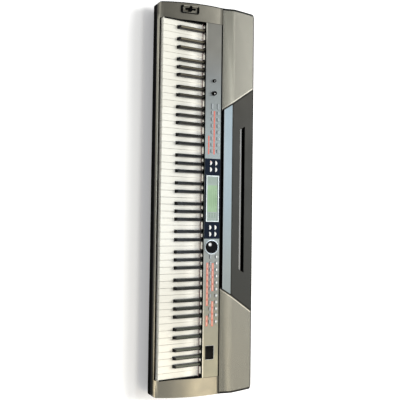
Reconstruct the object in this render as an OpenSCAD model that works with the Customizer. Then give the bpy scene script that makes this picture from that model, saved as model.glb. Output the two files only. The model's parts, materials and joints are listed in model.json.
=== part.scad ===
// Stage piano with 88 weighted keys. Front at -Y, treble end at +X, feet standing on z = 0.
// The origin is the middle of the case's footprint. All sizes are in millimetres.

/* [Case] */
// Overall length of the case, over the bowed ends
case_length = 1345; // [1335:1:1360]
// Depth of the case, front rail to rear wall
case_depth = 356; // [352:1:360]
// Wall thickness of the case shells
wall = 3; // [2.5:0.1:3.5]
// Height of the rubber feet
foot_height = 10; // [6:1:14]
// Height of the seam between the lower and the upper shell
seam_z = 60; // [57:1:61]
// Height of the top of the front rail
rail_z = 68; // [66:1:69]
// Radius of the curved tops of the two end blocks
cheek_radius = 711; // [705:1:720]

/* [Keyboard] */
// Height of the tops of the white keys
key_z = 85; // [84:0.5:86]
// Pitch of the white keys
white_pitch = 23.5; // [23.4:0.05:23.6]
// Gap between neighbouring white keys
key_gap = 1; // [0.8:0.1:1.2]
// Height of the black keys above the white ones
black_rise = 12; // [10:0.5:12]
// Width of a black key at its foot
black_width = 11; // [10:0.1:11.5]
// Length of white key in front of the black keys
white_front = 52; // [50:1:54]
// Distance from the front of a white key to its pivot
key_lever = 218; // [216:1:219]

/* [Control panel] */
// Tilt of the control panel, rising to the back
panel_tilt = 5.2; // [5:0.1:5.4]
// Depth of the control panel, measured along its slope
panel_depth = 64.6; // [64:0.1:65]
// Thickness of the control panel
panel_thickness = 2.5; // [2:0.1:3]
// Pitch of the button columns
button_pitch = 22.2; // [21.5:0.1:22.4]
// Radius of the data dial
dial_radius = 21; // [18:0.5:22]
// Radius of the volume knob
volume_radius = 8; // [7:0.5:9]
// Radius of the contrast knob
contrast_radius = 6; // [5:0.5:7]

/* [Rear deck] */
// Height of the flat top deck
deck_z = 128; // [127:0.5:129]
// Radius of a speaker frame
speaker_radius = 52; // [46:1:52]

/* [Hidden] */
WHITE_PC = [0, 2, 4, 5, 7, 9, 11];
BLACK_PC = [1, 3, 6, 8, 10];
NOTE_NAMES = ["c", "c_sharp", "d", "d_sharp", "e", "f", "f_sharp", "g", "g_sharp", "a", "a_sharp", "b"];

STATIC_NODES = [
    "bottom_case", "top_case", "control_panel", "key_slip_strip", "display_bezel", "display_frame",
    "lcd_screen", "rear_deck", "deck_strip", "left_speaker_grille", "right_speaker_grille",
    "left_speaker_frame", "left_speaker_cone", "right_speaker_frame", "right_speaker_cone",
    "key_felt", "key_chassis", "key_hinge_rod", "key_contact_board", "main_board", "panel_board",
    "jack_plate", "phone_jacks", "midi_sockets", "usb_socket", "dc_inlet", "rubber_feet",
    "case_screws", "joystick_well", "switch_bezel", "dial_ring"
];
KEY_NODES = [for (n = NOTE_NAMES) str("key_", n, "_4")];
BANK_NODES = [
    "white_keys_a0_b1", "black_keys_a0_b1", "white_keys_c2_b3", "black_keys_c2_b3",
    "white_keys_c5_b6", "black_keys_c5_b6", "white_keys_c7_c8", "black_keys_c7_c8"
];
CONTROL_NODES = [
    "joystick_gimbal", "joystick_lever", "data_dial", "volume_knob", "contrast_knob",
    "power_rocker", "left_buttons", "right_buttons", "display_buttons"
];

// Overlap that joins touching solids, and the play left round pieces let into the panel
eps = 0.01;
clear = 0.4;
front_y = -case_depth / 2;
rear_y = case_depth / 2;
front_corner_r = 18;
rear_corner_r = 15;
end_bow_r = 2500;
end_bow_y = -28;
rail_depth = 7.5;
floor_z = foot_height;

// Keyboard
key_front_y = front_y + 15;
key_count_white = 52;
keyboard_w = key_count_white * white_pitch;
octave_w = 7 * white_pitch;
first_c_x = -keyboard_w / 2 + 2 * white_pitch;
tail_pitch = octave_w / 12;
tail_gap = 2;
white_height = 17;
skirt_height = 24;
black_height = 30;
black_top_w = 9.5;
black_front_slope = 5;
black_y = key_front_y + white_front;
body_end_y = -4;
tail_y = body_end_y + 0.8;
tail_top_z = key_z - 6;
tail_bottom_z = key_z - 18;
pivot_y = key_front_y + key_lever;
pivot_z = key_z - 13;
tail_end_y = pivot_y + 7;
rod_r = 2.5;
rod_clear = 0.05;
// Centres of the five black keys, from the left edge of their octave
black_x = [for (k = [21.15, 49.35, 90.64, 117.5, 144.36]) k * white_pitch / 23.5];

// Opening for the keyboard and the control panel, between the end blocks
bay_half = keyboard_w / 2 + 0.5;

// Boards and the steel tray under the keys
board_t = 1.6;
board_hole_r = 1.6;
chassis_z = 36;
chassis_t = 2;
chassis_lip = 12;
contact_z = 53;
contact_y = -62;
contact_depth = 40;
contact_post_x = [-560:160:560];
contact_post_y = -26;

// Control panel, in its own tilted frame: x along the piano, v up the slope
panel_y = -12.5;
panel_z = 107;
panel_front_v = 4;

// Strip between the keys and the panel's front edge, and the felt behind it
slip_t = 1.6;
slip_lean = 4;
slip_bottom_z = key_z + 6.5;
slip_top_z = panel_z - panel_thickness + 0.2;
felt_t = 2;
felt_gap = 0.1;

// Beam under the panel's rear edge
beam_z = 98;
beam_top_z = 107;
panel_back_y = panel_y + panel_depth * cos(panel_tilt);

// Centre of the arc that the tops of the end blocks follow, through the panel's front edge
cheek_centre_y = 84;
cheek_centre_z = panel_z - sqrt(pow(cheek_radius, 2) - pow(panel_y - cheek_centre_y, 2));

// Display group
display_x = 1;
bezel_w = 277;
bezel_d = 57.6;
bezel_v = 4.6;
bezel_t = 0.8;
frame_w = 160;
frame_d = 48;
frame_v = 9.6;
frame_rim = 3.5;
frame_t = 2;
lcd_depth = 8;

// Buttons
button_w = 12;
button_d = 6;
button_rise = 2;
flange_drop = 1.4;
upper_row_v = 52;
lower_row_v = 29.5;
left_wide_x = -320;
left_first_x = -297;
left_columns = 7;
right_first_x = 201.6;
right_columns = 11;
display_button_r = 8;
display_button_x = [-122.5, -99.5, 100.5, 123.5];
display_button_v = [42, 22.3];

// Round controls
dial_x = 168;
dial_v = 33.4;
dial_rise = 7;
ring_r = dial_radius + 4.2;
volume_x = -365.5;
contrast_x = -409.5;
knob_v = 35.6;
volume_rise = 8.5;
contrast_rise = 6.5;
shaft_r = 3;
board_up = -9;
shaft_end = -6.8;

// Power switch
switch_x = 528;
switch_v = 30;
switch_w = 46;
switch_d = 31;
rocker_w = 39;
rocker_d = 24;
rocker_pin_r = 1.2;
rocker_pivot_depth = 4;
rocker_angle = 6;

// Joystick, in the bass end block
stick_x = -648;
stick_y = -69;
stick_tilt = asin((cheek_centre_y - stick_y) / cheek_radius);
stick_z = cheek_top(stick_y);
well_w = 24;
well_l = 62;
well_depth = 24;
well_t = 1.5;
well_lip = 1;
recess_depth = 5;
recess_floor_t = 1;
stick_pivot_depth = 12;
gimbal_l = 12;

// Rear deck
deck_front_y = panel_back_y + 1;
groove_y = 61;
strip_y0 = 61;
strip_z0 = 115;
strip_y1 = 93;
deck_rear_z = deck_z + 1;
rear_edge_run = 7;
rear_edge_fall = 5;
deck_t = 2.5;
rim_gap = 0.4;
diag_front_x = 308;
diag_rear_x = 391;
diag_front_y = 54;
diag_rear_y = 172;
diag_gap = 2.6;
slot_y0 = 121;
slot_y1 = 141;
slot_half = 258;
slot_depth = 12;

// Loudspeakers
speaker_x = 520;
speaker_y = 119;
speaker_z = deck_z - 16;
cone_r = speaker_radius - 7;
basket_h = 30;

// Connectors in the rear wall
plate_x = -150;
plate_w = 330;
plate_z0 = 26;
plate_h = 28;
jack_z = plate_z0 + plate_h / 2;
jack_x = [-290, -266, -242, -218];
jack_bore_r = 3.25;
jack_depth = 28;
midi_x = [-170, -142];
usb_x = -105;
dc_x = -20;

foot_r = 14;
foot_x = 560;
foot_y = 135;
end_screw_x = 642;
rear_screw_y = 158;
end_screws = [for (s = [-1, 1], y = [-135, 20, 130]) [s * end_screw_x, y]];
rear_screws = [for (x = [-450, 60, 180, 450]) [x, rear_screw_y]];
screw_points = concat(end_screws, rear_screws);
rib_t = 3;
rib_length = 40;
post_r = 5;
screw_r = 1.6;
screw_length = 16;
screw_head_r = 3.4;
screw_head_h = 2.2;

// ---------- Helpers ----------

function arc(c, r, a0, a1, n, first = 0) =
    [for (i = [first:n]) c + r * [cos(a0 + (a1 - a0) * i / n), sin(a0 + (a1 - a0) * i / n)]];
function mirrored(points) = [for (i = [len(points) - 1:-1:0]) [-points[i][0], points[i][1]]];
function bow_centre_x() = case_length / 2 - end_bow_r;
function corner_x(y, r) = bow_centre_x() + sqrt(pow(end_bow_r - r, 2) - pow(y - end_bow_y, 2));

// Right-hand half of the plan outline: front corner, bowed end, rear corner
function end_points(inset) =
    let (fy = front_y + front_corner_r, ry = rear_y - rear_corner_r,
         fx = corner_x(fy, front_corner_r), rx = corner_x(ry, rear_corner_r),
         fa = atan2(fy - end_bow_y, fx - bow_centre_x()),
         ra = atan2(ry - end_bow_y, rx - bow_centre_x()))
    concat(
        arc([fx, fy], front_corner_r - inset, -90, fa, 10),
        arc([bow_centre_x(), end_bow_y], end_bow_r - inset, fa, ra, 24, 1),
        arc([rx, ry], rear_corner_r - inset, ra, 90, 10, 1)
    );
module outline(inset = 0) {
    polygon(concat(end_points(inset), mirrored(end_points(inset))));
}

// Extrudes a (y, z) profile along X, centred on x
module along_x(length, x = 0) {
    translate([x - length / 2, 0, 0]) rotate([90, 0, 90]) linear_extrude(length) children();
}

// Height of the end blocks' curved top at y
function cheek_top(y) = cheek_centre_z + sqrt(pow(cheek_radius, 2) - pow(y - cheek_centre_y, 2));

// Side profile of the upper shell's outer surface, lowered by drop
function top_profile(drop) =
    let (r = 5, y0 = -166, y1 = panel_back_y)
    concat(
        [[rear_y + 1, seam_z - 5], [front_y + drop, seam_z - 5]],
        arc([front_y + r, rail_z - r], r - drop, 180, 90, 6),
        [for (i = [0:20]) let (y = y0 + (y1 - y0) * i / 20) [y, cheek_top(y) - drop]],
        deck_profile(drop)
    );
function deck_profile(drop) = [
    [diag_front_y, strip_z0 - 1 - drop], [strip_y0, strip_z0 - drop], [strip_y1, deck_z - drop],
    [rear_y - rear_edge_run, deck_rear_z - drop], [rear_y + 1, deck_rear_z - rear_edge_fall - drop]
];

module on_panel(x = 0, v = 0, up = 0) {
    translate([0, panel_y, panel_z]) rotate([panel_tilt, 0, 0]) translate([x, v, up]) children();
}
module on_stick(up = 0) {
    translate([stick_x, stick_y, stick_z]) rotate([stick_tilt, 0, 0]) translate([0, 0, up]) children();
}
module box(w, d, h) {
    translate([-w / 2, -d / 2, 0]) cube([w, d, h]);
}
module box_from_front(w, d, h) {
    translate([-w / 2, 0, 0]) cube([w, d, h]);
}
module stadium_box(w, d, h, r) {
    linear_extrude(h) {
        square([w - 2 * r, d], center = true);
        square([w, d - 2 * r], center = true);
        for (sx = [-1, 1], sy = [-1, 1])
            translate([sx * (w / 2 - r), sy * (d / 2 - r)]) circle(r, $fn = 32);
    }
}

// ---------- Keys ----------

function octave_x(octave) = first_c_x + (octave - 1) * octave_w;
function white_slot(pc) = [for (i = [0:6]) if (WHITE_PC[i] == pc) i][0];
function black_slot(pc) = [for (i = [0:4]) if (BLACK_PC[i] == pc) i][0];
function is_black(pc) = len([for (b = BLACK_PC) if (b == pc) b]) > 0;
function has_black(octave, pc) =
    is_black((pc + 12) % 12) && octave * 12 + pc >= 9 && octave * 12 + pc <= 96;
function tail_x0(octave, pc) = octave_x(octave) + tail_pitch * pc + tail_gap / 2;
tail_w = tail_pitch - tail_gap;
black_half = black_width / 2;

// Left and right edges of a white key's body between the black keys
function body_x0(octave, pc) =
    has_black(octave, pc - 1)
        ? octave_x(octave) + black_x[black_slot(pc - 1)] + black_half + key_gap / 2
        : octave_x(octave) + white_slot(pc) * white_pitch + key_gap / 2;
function body_x1(octave, pc) =
    has_black(octave, pc + 1)
        ? octave_x(octave) + black_x[black_slot(pc + 1)] - black_half - key_gap / 2
        : octave_x(octave) + (white_slot(pc) + 1) * white_pitch - key_gap / 2;

module key_tail(x0, x1, tx0) {
    neck0 = max(x0, tx0);
    neck1 = min(x1, tx0 + tail_w);
    difference() {
        union() {
            translate([neck0, body_end_y - 4, tail_bottom_z])
                cube([neck1 - neck0, 6, tail_top_z - tail_bottom_z]);
            translate([tx0, tail_y, tail_bottom_z])
                cube([tail_w, tail_end_y - tail_y, tail_top_z - tail_bottom_z]);
        }
        translate([tx0 - 1, pivot_y, pivot_z]) rotate([0, 90, 0])
            cylinder(r = rod_r + rod_clear, h = tail_w + 2, $fn = 32);
    }
}
module white_key(octave, pc) {
    x0 = body_x0(octave, pc);
    x1 = body_x1(octave, pc);
    slot_x = octave_x(octave) + white_slot(pc) * white_pitch;
    notch_y = black_y - key_gap;
    translate([slot_x + key_gap / 2, key_front_y, key_z - white_height])
        cube([white_pitch - key_gap, notch_y - key_front_y, white_height]);
    translate([slot_x + key_gap / 2, key_front_y, key_z - skirt_height])
        cube([white_pitch - key_gap, 3, skirt_height]);
    translate([x0, notch_y - 1, key_z - white_height])
        cube([x1 - x0, body_end_y - notch_y + 1, white_height]);
    key_tail(x0, x1, tail_x0(octave, pc));
}
module black_key(octave, pc) {
    xc = octave_x(octave) + black_x[black_slot(pc)];
    top_z = key_z + black_rise;
    bottom_z = top_z - black_height;
    intersection() {
        along_x(black_width, xc)
            polygon([
                [black_y, bottom_z], [body_end_y, bottom_z], [body_end_y, top_z],
                [black_y + black_front_slope, top_z], [black_y, key_z - 1]
            ]);
        translate([xc, body_end_y, 0]) rotate([90, 0, 0]) linear_extrude(body_end_y - black_y)
            polygon([
                [-black_half, bottom_z], [black_half, bottom_z], [black_half, key_z],
                [black_top_w / 2, top_z], [-black_top_w / 2, top_z], [-black_half, key_z]
            ]);
    }
    key_tail(xc - black_half, xc + black_half, tail_x0(octave, pc));
}
module white_key_range(first, last) {
    color("ivory") for (n = [first:last]) if (!is_black(n % 12)) white_key(floor(n / 12), n % 12);
}
module black_key_range(first, last) {
    color("black") for (n = [first:last]) if (is_black(n % 12)) black_key(floor(n / 12), n % 12);
}
module single_key(pc) {
    if (is_black(pc)) color("black") black_key(4, pc);
    else color("ivory") white_key(4, pc);
}

// ---------- Case ----------

module shell_below_seam(inset) {
    intersection() {
        translate([0, 0, floor_z + inset]) linear_extrude(seam_z - floor_z) outline(inset);
        along_x(case_length)
            polygon([
                [front_y + inset, seam_z + inset], [front_y + inset, 36], [front_y + 14 + inset, floor_z],
                [rear_y - 12 - inset, floor_z], [rear_y - inset, 24], [rear_y - inset, seam_z + inset]
            ]);
        translate([0, rear_y, 0]) rotate([90, 0, 0]) linear_extrude(case_depth)
            polygon([
                for (p = [[1, seam_z + 5], [1, 34], [1 - 16 / (case_length / 2), floor_z]])
                    [p[0] * (case_length / 2 - inset), p[1]],
                for (p = [[1 - 16 / (case_length / 2), floor_z], [1, 34], [1, seam_z + 5]])
                    [-p[0] * (case_length / 2 - inset), p[1]]
            ]);
    }
}
module bottom_case() {
    color("#1c1c1e") difference() {
        intersection() {
            shell_below_seam(0);
            box(case_length + 10, case_depth + 10, seam_z);
        }
        shell_below_seam(wall);
        translate([plate_x, rear_y - wall / 2, plate_z0]) box(plate_w + 2 * clear, 2 * wall, plate_h);
        for (p = screw_points)
            translate([p[0], p[1], floor_z - 1]) cylinder(r = screw_r + 0.4, h = wall + 2, $fn = 24);
    }
}
// Block across the keyboard bay, from inside the front rail to the given rear y
module keyboard_bay(h, rear) {
    y0 = front_y + rail_depth;
    translate([-bay_half, y0, 0]) cube([2 * bay_half, rear - y0, h]);
}
module top_case() {
    color("#8c8672") difference() {
        union() {
            difference() {
                intersection() {
                    translate([0, 0, seam_z]) linear_extrude(deck_z) outline();
                    along_x(case_length) polygon(top_profile(0));
                }
                // Bay for the keys, reaching under the beam, and bay for the panel
                translate([0, 0, seam_z - 1]) keyboard_bay(beam_z - seam_z + 1, 115);
                translate([0, 0, seam_z - 1]) keyboard_bay(deck_z, panel_back_y + clear);
                // Space under the deck and the grilles
                intersection() {
                    translate([0, 0, seam_z - 1]) linear_extrude(deck_z) outline(wall);
                    union() {
                        translate([0, groove_y + 1, 0])
                            box_from_front(2 * case_length, case_depth, 2 * deck_z);
                        translate([0, panel_back_y + 2, beam_top_z])
                            box_from_front(2 * case_length, case_depth, deck_z);
                    }
                }
                // Hollows of the two end blocks
                intersection() {
                    translate([0, 0, seam_z - 1]) linear_extrude(deck_z) outline(wall);
                    along_x(case_length) polygon(top_profile(wall));
                    for (s = [-1, 1])
                        translate([s * (bay_half + wall + 50), (front_y + wall + panel_back_y - wall) / 2, 0])
                            box(100, panel_back_y - front_y - 2 * wall, 2 * deck_z);
                }
            }
            // Screw posts and the ledges that carry the panel's ends
            intersection() {
                union() {
                    for (p = screw_points)
                        translate([p[0], p[1], floor_z + wall]) cylinder(r = post_r, h = deck_z, $fn = 32);
                    for (p = end_screws)
                        translate([p[0] < 0 ? p[0] - rib_length : p[0], p[1] - rib_t / 2, seam_z])
                            cube([rib_length, rib_t, deck_z]);
                    for (p = rear_screws)
                        translate([p[0], p[1], seam_z]) box_from_front(rib_t, rib_length, deck_z);
                }
                translate([0, 0, floor_z]) linear_extrude(deck_z) outline(0.5);
                along_x(case_length + 2) polygon(concat(
                    [[rear_y, 0], [front_y + 1, 0]],
                    [for (i = [0:20]) let (y = front_y + 1 + (panel_back_y - front_y) * i / 20)
                        [y, cheek_top(y) - 1]],
                    [[strip_y0, beam_top_z], [rear_y, deck_z - deck_t - 4]]
                ));
            }
            for (s = [-1, 1])
                on_panel(s * (bay_half - 2), 10, -panel_thickness - 4) box_from_front(5, 44, 4);
        }
        for (p = screw_points)
            translate([p[0], p[1], floor_z]) cylinder(r = screw_r, h = screw_length, $fn = 24);
        // Opening for the joystick well
        on_stick(-well_depth - 2) stadium_box(well_w + 0.4, well_l + 0.4, well_depth + 20, 5);
    }
}
module rubber_feet() {
    color("#202020") for (sx = [-1, 1], sy = [-1, 1]) translate([sx * foot_x, sy * foot_y, 0])
        cylinder(r = foot_r, h = foot_height, $fn = 48);
}
module case_screws() {
    color("silver") for (p = screw_points) translate([p[0], p[1], 0]) {
        translate([0, 0, floor_z - screw_head_h]) cylinder(r = screw_head_r, h = screw_head_h, $fn = 24);
        translate([0, 0, floor_z - eps]) cylinder(r = screw_r - rod_clear, h = screw_length - 1, $fn = 24);
    }
}

// ---------- Keyboard mechanism ----------

module key_chassis() {
    w = 2 * bay_half - 2;
    tray_y = key_front_y + 6;
    bracket_t = 1.2;
    bracket_depth = 18;
    foot_z = chassis_z + 1;
    color("#6f747a") difference() {
        union() {
            translate([0, tray_y, chassis_z]) box_from_front(w, tail_end_y + 6 - tray_y, chassis_t);
            translate([0, tray_y, chassis_z]) box_from_front(w, 4, chassis_lip);
            for (i = [-1:8]) translate([bracket_x(i), pivot_y, foot_z])
                box(bracket_t, bracket_depth, pivot_z + 5 - foot_z);
            // Posts that carry the contact board
            for (x = contact_post_x) translate([x, contact_post_y, foot_z])
                cylinder(r = 3, h = contact_z - foot_z, $fn = 24);
        }
        translate([-bay_half, pivot_y, pivot_z]) rotate([0, 90, 0])
            cylinder(r = rod_r + rod_clear, h = 2 * bay_half, $fn = 32);
        for (sx = [-1, 1], sy = [-1, 1]) translate([sx * 420, sy * 40 - 40, chassis_z - 1])
            cylinder(r = 2, h = chassis_t + 2, $fn = 24);
    }
}
// Rod brackets stand at the keyboard's ends and at each octave boundary
function bracket_x(i) = i < 0 ? -bay_half + 1.6 : i > 7 ? bay_half - 1.6 : first_c_x + octave_w * i;
module key_hinge_rod() {
    color("silver") translate([-bay_half + 0.8, pivot_y, pivot_z]) rotate([0, 90, 0])
        cylinder(r = rod_r, h = 2 * bay_half - 1.6, $fn = 32);
}
module key_contact_board() {
    color("darkgreen") difference() {
        translate([0, contact_y, contact_z]) box_from_front(2 * bay_half - 8, contact_depth, board_t);
        for (x = contact_post_x) translate([x, contact_post_y, contact_z - 1])
            cylinder(r = board_hole_r, h = board_t + 2, $fn = 24);
    }
}
// Felt below and behind the strip, over the keys' rear ends
module key_felt() {
    foot_y = panel_y + 0.3;
    foot_z = key_z + 1;
    back0 = slip_y(slip_bottom_z) + slip_t + felt_gap;
    back1 = slip_y(slip_top_z) + slip_t + felt_gap;
    color("#7c1420") difference() {
        along_x(2 * bay_half - 0.6)
            polygon([
                [foot_y, foot_z], [foot_y, slip_bottom_z - felt_gap],
                [back0, slip_bottom_z - felt_gap], [back1, slip_top_z], [back1 + felt_t, slip_top_z],
                [back0 + felt_t, slip_bottom_z], [back0 + felt_t, foot_z]
            ]);
        black_key_notches();
    }
}
// Openings over the black keys, in the felt and in the strip before it
module black_key_notches() {
    for (octave = [0:7], pc = BLACK_PC) if (has_black(octave, pc))
        translate([octave_x(octave) + black_x[black_slot(pc)], panel_y, key_z])
            box(black_width + 1.6, 24, black_rise + 1);
}
// The strip under the panel's front edge leans back as it rises
function slip_y(z) =
    panel_y + slip_lean * (z - slip_bottom_z) / (slip_top_z - slip_bottom_z);

// ---------- Control panel ----------

module panel_plate(x, v, w, d, t, up = 0) {
    on_panel(x, v, up) translate([-w / 2, 0, 0]) cube([w, d, t]);
}
module control_panel() {
    hole_h = panel_thickness + 4;
    color("#a7adb2") difference() {
        panel_plate(0, panel_front_v, 2 * bay_half - 2 * clear, panel_depth - panel_front_v,
                    panel_thickness, -panel_thickness);
        panel_plate(display_x, bezel_v + 4, bezel_w - 8, bezel_d - 8, hole_h, -panel_thickness - 1);
        on_panel(dial_x, dial_v, -panel_thickness - 1) cylinder(r = ring_r - 1.5, h = hole_h, $fn = 64);
        for (x = [volume_x, contrast_x])
            on_panel(x, knob_v, -panel_thickness - 1) cylinder(r = shaft_r + 0.5, h = hole_h, $fn = 32);
        on_panel(switch_x, switch_v, -panel_thickness - 1) box(switch_w - 3, switch_d - 3, hole_h);
        for (p = left_button_places()) button_hole(p, hole_h);
        for (p = right_button_places()) button_hole(p, hole_h);
    }
}
function left_button_places() = concat(
    [for (v = [upper_row_v, lower_row_v]) [left_wide_x, v, 19]],
    [for (i = [0:left_columns - 1], v = [upper_row_v, lower_row_v])
        [left_first_x + i * button_pitch, v, button_w]]
);
function right_button_places() =
    [for (i = [0:right_columns - 1], v = [upper_row_v, lower_row_v])
        [right_first_x + i * button_pitch, v, button_w]];
module button_hole(p, h) {
    on_panel(p[0], p[1], -panel_thickness - 1) box(p[2] + 2 * clear, button_d + 2 * clear, h);
}
// Each cap has a flange under the panel that keeps it from coming out
module button(p) {
    on_panel(p[0], p[1], -panel_thickness - 0.2)
        box(p[2], button_d, panel_thickness + button_rise + 0.2);
    on_panel(p[0], p[1], -panel_thickness - flange_drop)
        box(p[2] + 2, button_d + 2, flange_drop - 0.2);
}
module left_buttons() {
    color("#d8dadb") for (p = left_button_places()) button(p);
}
module right_buttons() {
    color("#e6e6e2") for (p = right_button_places()) button(p);
}
module half_moon(r, h) {
    linear_extrude(h) intersection() {
        circle(r, $fn = 48);
        translate([-r, 1]) square([2 * r, r]);
    }
}
module display_buttons() {
    color("#f2f2f2") for (x = display_button_x, v = display_button_v) {
        on_panel(x, v, -panel_thickness) half_moon(display_button_r, panel_thickness + button_rise + bezel_t);
        on_panel(x, v + 4.5, -panel_thickness - flange_drop) box(18, 10, flange_drop);
    }
}
module key_slip_strip() {
    y0 = slip_y(slip_bottom_z);
    y1 = slip_y(slip_top_z);
    color("#8a8680") difference() {
        along_x(2 * bay_half - 2 * clear)
            polygon([
                [y0, slip_bottom_z], [y1, slip_top_z], [y1 + slip_t, slip_top_z],
                [y0 + slip_t, slip_bottom_z]
            ]);
        black_key_notches();
    }
}
module display_bezel() {
    color("#16203a") difference() {
        panel_plate(display_x, bezel_v, bezel_w, bezel_d, bezel_t);
        panel_plate(display_x, frame_v + 1.5, frame_w - 3, frame_d - 3, 6, -2);
        for (x = display_button_x, v = display_button_v)
            on_panel(x, v, -1) linear_extrude(4) intersection() {
                circle(display_button_r + clear, $fn = 48);
                translate([-10, 1 - clear]) square([20, 10]);
            }
    }
}
module display_frame() {
    color("#e4e8ea") difference() {
        panel_plate(display_x, frame_v, frame_w, frame_d, frame_t, bezel_t);
        panel_plate(display_x, frame_v + frame_rim, frame_w - 2 * frame_rim, frame_d - 2 * frame_rim, 8, -2);
    }
}
module lcd_screen() {
    color("#b9cfae")
        panel_plate(display_x, frame_v + 2, frame_w - 4, frame_d - 4, lcd_depth, bezel_t - lcd_depth);
}
module dial_ring() {
    color("#c9ced2") on_panel(dial_x, dial_v) difference() {
        cylinder(r = ring_r, h = 1.2, $fn = 64);
        translate([0, 0, -1]) cylinder(r = dial_radius + 0.5, h = 4, $fn = 64);
    }
}
module data_dial() {
    dimple_r = 14;
    color("#101012") on_panel(dial_x, dial_v) difference() {
        union() {
            translate([0, 0, -2]) cylinder(r = dial_radius, h = dial_rise + 2, $fn = 64);
            translate([0, 0, shaft_end]) cylinder(r = shaft_r, h = 6, $fn = 32);
        }
        translate([-9, -8, dial_rise + dimple_r - 2.6]) sphere(r = dimple_r, $fn = 64);
    }
}
module knob(x, r, rise, grooves) {
    on_panel(x, knob_v) difference() {
        union() {
            translate([0, 0, clear]) cylinder(r1 = r, r2 = r - 0.8, h = rise - clear, $fn = 48);
            translate([0, 0, shaft_end]) cylinder(r = shaft_r, h = 1 - shaft_end, $fn = 32);
        }
        // Pointer slot and grip grooves
        translate([-0.5, r * 0.35, rise - 0.6]) cube([1, r, 2]);
        for (i = [0:grooves - 1]) rotate([0, 0, i * 360 / grooves]) translate([r + 0.1, 0, 1.5])
            cylinder(r = 0.6, h = rise, $fn = 16);
    }
}
module volume_knob() {
    color("#141416") knob(volume_x, volume_radius, volume_rise, 18);
}
module contrast_knob() {
    color("#1c1c1e") knob(contrast_x, contrast_radius, contrast_rise, 14);
}
module switch_bezel() {
    color("#161618") on_panel(switch_x, switch_v) difference() {
        union() {
            box(switch_w, switch_d, 1.4);
            translate([0, 0, -14]) box(switch_w - 3.4, switch_d - 3.4, 15);
        }
        translate([0, 0, -12.5]) box(rocker_w + 2.4, rocker_d + 0.6, 20);
        translate([0, 0, -rocker_pivot_depth]) rotate([90, 0, 0])
            cylinder(r = rocker_pin_r + rod_clear, h = switch_d + 2, center = true, $fn = 24);
    }
}
module power_rocker() {
    h = rocker_w / 2;
    dip = h * sin(rocker_angle);
    face = 3.2;
    color("#0e0e10") on_panel(switch_x, switch_v, -rocker_pivot_depth) rotate([0, rocker_angle, 0]) {
        translate([0, rocker_d / 2, 0]) rotate([90, 0, 0]) linear_extrude(rocker_d)
            polygon([
                [-h, face + dip], [-h * 0.55, face + 0.45 * dip], [0, face], [h * 0.55, face + 0.45 * dip],
                [h, face + dip], [h, 0], [4, -5], [-4, -5], [-h, 0]
            ]);
        rotate([90, 0, 0]) cylinder(r = rocker_pin_r, h = rocker_d + 2.6, center = true, $fn = 24);
    }
}
module panel_board() {
    color("darkgreen") difference() {
        panel_plate(15, 14, 890, 44, board_t, board_up);
        panel_plate(display_x, 10, 190, 60, 4, board_up - 1);
    }
    color("#404040") for (x = [-300, -180, 220, 420]) on_panel(x, 40, board_up - 3) box(8, 5, 3.2);
}

// ---------- Joystick ----------

module joystick_well() {
    gimbal_space = well_depth - well_t - recess_depth - recess_floor_t;
    color("#8c8672") on_stick() difference() {
        union() {
            translate([0, 0, -well_depth]) stadium_box(well_w, well_l, well_depth + well_lip, 4.8);
            translate([0, 0, eps]) stadium_box(well_w + 4, well_l + 4, well_lip - eps, 6.8);
        }
        // Recess round the lever, the space for the gimbal below it, and the hole between them
        translate([0, 0, -recess_depth])
            stadium_box(well_w - 2 * well_t, well_l - 2 * well_t, recess_depth + 10, 3.3);
        translate([0, 0, -well_depth + well_t])
            stadium_box(well_w - 2 * well_t, well_l - 2 * well_t, gimbal_space, 3.3);
        translate([0, 0, -well_depth / 2]) stadium_box(12, 13, well_depth, 3);
        translate([0, 0, -stick_pivot_depth]) rotate([0, 90, 0])
            cylinder(r = 1.55, h = well_w + 10, center = true, $fn = 24);
    }
}
module joystick_gimbal() {
    color("#3a3a3c") on_stick(-stick_pivot_depth) difference() {
        union() {
            translate([0, 0, -4]) box(16, gimbal_l, 8);
            rotate([0, 90, 0]) cylinder(r = 1.5, h = well_w - 0.4, center = true, $fn = 24);
        }
        translate([0, 0, -5]) box(10.6, 7.6, 10);
        rotate([90, 0, 0]) cylinder(r = 1.55, h = gimbal_l + 2, center = true, $fn = 24);
    }
}
module joystick_lever() {
    bar_up = stick_pivot_depth + 3;
    crown_up = 18;
    color("#0c0c0c") on_stick(-stick_pivot_depth) {
        translate([0, 0, -3]) box(6, 6, 6);
        cylinder(r = 2.8, h = crown_up + 4, $fn = 32);
        rotate([90, 0, 0]) cylinder(r = 1.5, h = gimbal_l - 0.4, center = true, $fn = 24);
        translate([0, 0, bar_up]) stadium_box(6.6, 38, 3, 3);
        translate([0, 0, crown_up]) stadium_box(19, 9, 7, 4);
    }
}

// ---------- Rear deck and speakers ----------

// Half width of the centre section, which widens to the rear between the two grilles
function centre_x(y) =
    diag_front_x + (diag_rear_x - diag_front_x) * (y - diag_front_y) / (diag_rear_y - diag_front_y);
module centre_plan(y0, y1, inset) {
    polygon([
        [-centre_x(y0) + inset, y0], [centre_x(y0) - inset, y0],
        [centre_x(y1) - inset, y1], [-centre_x(y1) + inset, y1]
    ]);
}
module deck_skin(t, drop = 0) {
    along_x(case_length + 10) polygon(concat(
        [for (p = deck_profile(drop)) p],
        [for (i = [4:-1:0]) deck_profile(drop + t)[i]]
    ));
}
module wing_plan(s) {
    intersection() {
        outline(wall + rim_gap);
        polygon([
            [s * diag_front_x, diag_front_y], [s * case_length, diag_front_y],
            [s * case_length, rear_y], [s * centre_x(rear_y), rear_y]
        ]);
    }
}
module speaker_grille(s) {
    color("#b2b0a2") intersection() {
        linear_extrude(2 * deck_z) wing_plan(s);
        deck_skin(deck_t);
    }
}
module left_speaker_grille() {
    speaker_grille(-1);
}
module right_speaker_grille() {
    speaker_grille(1);
}
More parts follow.
